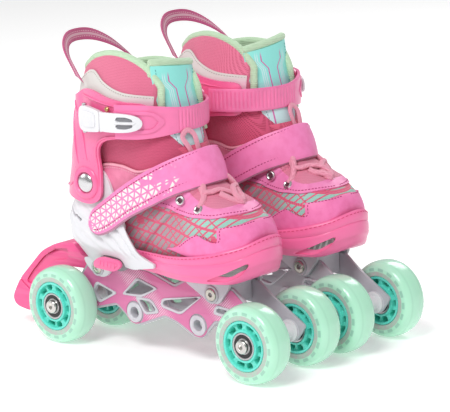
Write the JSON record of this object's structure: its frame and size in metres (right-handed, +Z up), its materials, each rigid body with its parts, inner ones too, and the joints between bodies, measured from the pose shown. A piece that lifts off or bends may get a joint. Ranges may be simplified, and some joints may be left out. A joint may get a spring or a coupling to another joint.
{
  "type": "children's convertible quad roller skates",
  "caption": "Pair of children's roller skates: quad wheels on a frame with spare axle bushes, extending toe, hinged cuff with a buckle strap, instep strap and toe-side brake arm.",
  "frame": {"origin": "on the ground under the middle of the pair's bounding box", "axes": "+X towards the toes, +Y towards the left skate, +Z up"},
  "size_m": [0.3168, 0.2194, 0.2578],
  "materials": {
    "tyre": "glossy translucent urethane",
    "hub": "glossy",
    "bearings": "polished",
    "axle": "zinc plated",
    "frame": "satin",
    "bracket": "satin",
    "brake": "semi-gloss",
    "heel_shell": "semi-gloss",
    "push_button": "semi-gloss",
    "liner": "padded textile",
    "upper": "printed mesh",
    "cuff": "semi-gloss",
    "collar": "padded textile",
    "tongue": "padded textile",
    "cuff_strap": "semi-gloss",
    "pull_loop": "woven webbing",
    "buckle_lever": "semi-gloss",
    "toe_shell": "semi-gloss",
    "instep_strap": "coated strap"
  },
  "bodies": {
    "frames": {"right_frame_outer": "frame", "right_frame_inner": "frame", "right_front_bracket": "bracket", "right_front_axle": "axle", "right_rear_axle": "axle", "right_brake": "brake", "right_heel_shell": "heel_shell", "right_liner": "liner", "right_instep_strap": "instep_strap", "left_frame_outer": "frame", "left_frame_inner": "frame", "left_front_bracket": "bracket", "left_front_axle": "axle", "left_rear_axle": "axle", "left_brake": "brake", "left_heel_shell": "heel_shell", "left_liner": "liner", "left_instep_strap": "instep_strap"},
    "right_front_outer_wheel": {"right_front_outer_tyre": "tyre", "right_front_outer_hub": "hub", "right_front_outer_bearings": "bearings"},
    "right_front_inner_wheel": {"right_front_inner_tyre": "tyre", "right_front_inner_hub": "hub", "right_front_inner_bearings": "bearings"},
    "right_rear_outer_wheel": {"right_rear_outer_tyre": "tyre", "right_rear_outer_hub": "hub", "right_rear_outer_bearings": "bearings"},
    "right_rear_inner_wheel": {"right_rear_inner_tyre": "tyre", "right_rear_inner_hub": "hub", "right_rear_inner_bearings": "bearings"},
    "right_toe_unit": {"right_toe_shell": "toe_shell", "right_upper": "upper"},
    "right_cuff_unit": {"right_cuff": "cuff", "right_collar": "collar", "right_tongue": "tongue", "right_cuff_strap": "cuff_strap", "right_pull_loop": "pull_loop"},
    "right_buckle": {"right_buckle_lever": "buckle_lever"},
    "right_button": {"right_push_button": "push_button"},
    "left_front_outer_wheel": {"left_front_outer_tyre": "tyre", "left_front_outer_hub": "hub", "left_front_outer_bearings": "bearings"},
    "left_front_inner_wheel": {"left_front_inner_tyre": "tyre", "left_front_inner_hub": "hub", "left_front_inner_bearings": "bearings"},
    "left_rear_outer_wheel": {"left_rear_outer_tyre": "tyre", "left_rear_outer_hub": "hub", "left_rear_outer_bearings": "bearings"},
    "left_rear_inner_wheel": {"left_rear_inner_tyre": "tyre", "left_rear_inner_hub": "hub", "left_rear_inner_bearings": "bearings"},
    "left_toe_unit": {"left_toe_shell": "toe_shell", "left_upper": "upper"},
    "left_cuff_unit": {"left_cuff": "cuff", "left_collar": "collar", "left_tongue": "tongue", "left_cuff_strap": "cuff_strap", "left_pull_loop": "pull_loop"},
    "left_buckle": {"left_buckle_lever": "buckle_lever"},
    "left_button": {"left_push_button": "push_button"}
  },
  "joints": [
    {"name": "right_front_outer_wheel_spin", "type": "hinge", "parent": "frames", "child": "right_front_outer_wheel", "pos_m": [0.12631, -0.08271, 0.032], "axis": [-0.0269, 0.9996, 0], "continuous": true},
    {"name": "right_front_inner_wheel_spin", "type": "hinge", "parent": "frames", "child": "right_front_inner_wheel", "pos_m": [0.12467, -0.02173, 0.032], "axis": [-0.0269, 0.9996, 0], "continuous": true},
    {"name": "right_rear_outer_wheel_spin", "type": "hinge", "parent": "frames", "child": "right_rear_outer_wheel", "pos_m": [-0.08061, -0.08827, 0.032], "axis": [-0.0269, 0.9996, 0], "continuous": true},
    {"name": "right_rear_inner_wheel_spin", "type": "hinge", "parent": "frames", "child": "right_rear_inner_wheel", "pos_m": [-0.08225, -0.02729, 0.032], "axis": [-0.0269, 0.9996, 0], "continuous": true},
    {"name": "right_toe_slide", "type": "slide", "parent": "frames", "child": "right_toe_unit", "axis": [0.9996, 0.0269, 0], "range_m": [0, 0.02]},
    {"name": "right_cuff_hinge", "type": "hinge", "parent": "frames", "child": "right_cuff_unit", "pos_m": [-0.03895, -0.05664, 0.141], "axis": [-0.0269, 0.9996, 0], "range_deg": [-4, 7]},
    {"name": "right_buckle_hinge", "type": "hinge", "parent": "right_cuff_unit", "child": "right_buckle", "pos_m": [-0.02817, -0.10387, 0.1965], "axis": [0, 0, -1], "range_deg": [0, 60]},
    {"name": "right_button_press", "type": "slide", "parent": "frames", "child": "right_button", "axis": [-0.0269, 0.9996, 0], "range_m": [0, 0.0025], "stiffness_N_per_m": 900, "springref_m": -0.002},
    {"name": "left_front_outer_wheel_spin", "type": "hinge", "parent": "frames", "child": "left_front_outer_wheel", "pos_m": [0.12631, 0.08271, 0.032], "axis": [0.0269, 0.9996, 0], "continuous": true},
    {"name": "left_front_inner_wheel_spin", "type": "hinge", "parent": "frames", "child": "left_front_inner_wheel", "pos_m": [0.12467, 0.02173, 0.032], "axis": [0.0269, 0.9996, 0], "continuous": true},
    {"name": "left_rear_outer_wheel_spin", "type": "hinge", "parent": "frames", "child": "left_rear_outer_wheel", "pos_m": [-0.08061, 0.08827, 0.032], "axis": [0.0269, 0.9996, 0], "continuous": true},
    {"name": "left_rear_inner_wheel_spin", "type": "hinge", "parent": "frames", "child": "left_rear_inner_wheel", "pos_m": [-0.08225, 0.02729, 0.032], "axis": [0.0269, 0.9996, 0], "continuous": true},
    {"name": "left_toe_slide", "type": "slide", "parent": "frames", "child": "left_toe_unit", "axis": [0.9996, -0.0269, 0], "range_m": [0, 0.02]},
    {"name": "left_cuff_hinge", "type": "hinge", "parent": "frames", "child": "left_cuff_unit", "pos_m": [-0.03895, 0.05664, 0.141], "axis": [0.0269, 0.9996, 0], "range_deg": [-4, 7]},
    {"name": "left_buckle_hinge", "type": "hinge", "parent": "left_cuff_unit", "child": "left_buckle", "pos_m": [-0.02817, 0.10387, 0.1965], "axis": [0, 0, 1], "range_deg": [0, 60]},
    {"name": "left_button_press", "type": "slide", "parent": "frames", "child": "left_button", "axis": [-0.0269, -0.9996, 0], "range_m": [0, 0.0025], "stiffness_N_per_m": 900, "springref_m": -0.002}
  ]
}
